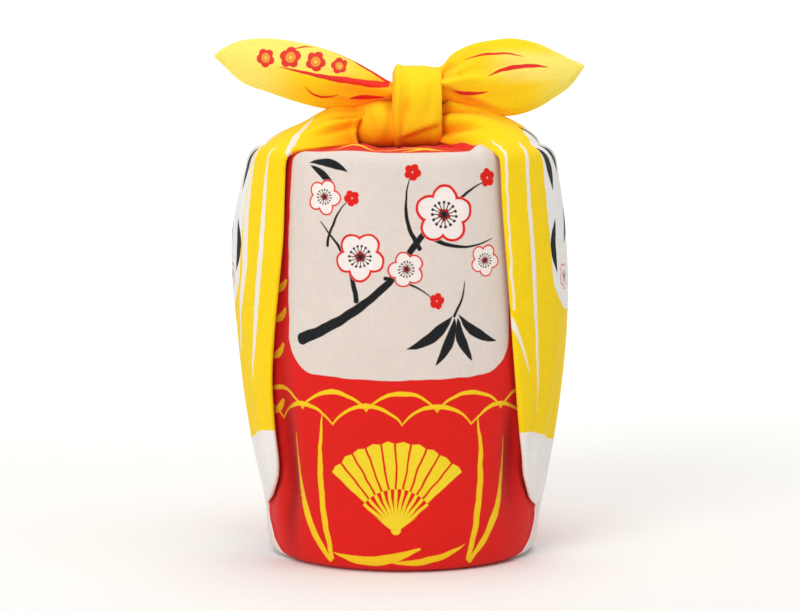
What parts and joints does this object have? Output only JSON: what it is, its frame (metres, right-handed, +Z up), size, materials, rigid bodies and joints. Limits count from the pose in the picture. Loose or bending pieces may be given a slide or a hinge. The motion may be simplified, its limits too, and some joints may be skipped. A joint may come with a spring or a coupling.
{
  "type": "furoshiki wrap",
  "caption": "Square cotton wrapping cloth folded round a hidden upright tin, its side flaps pleated over the panels and knotted on top with leaf-shaped free ends.",
  "frame": {"origin": "middle of the flat base, on the surface the wrap stands on", "axes": "+Z up; the front panel faces -Y; +X is to the right seen from the front, along the knot's free ends"},
  "size_m": [0.1828, 0.1382, 0.256],
  "materials": {
    "printed_cotton": "matt plain-weave cotton sheeting, printed in yellow, red, black and off-white"
  },
  "bodies": {
    "root": {"furoshiki_cloth": "printed_cotton"}
  },
  "joints": []
}
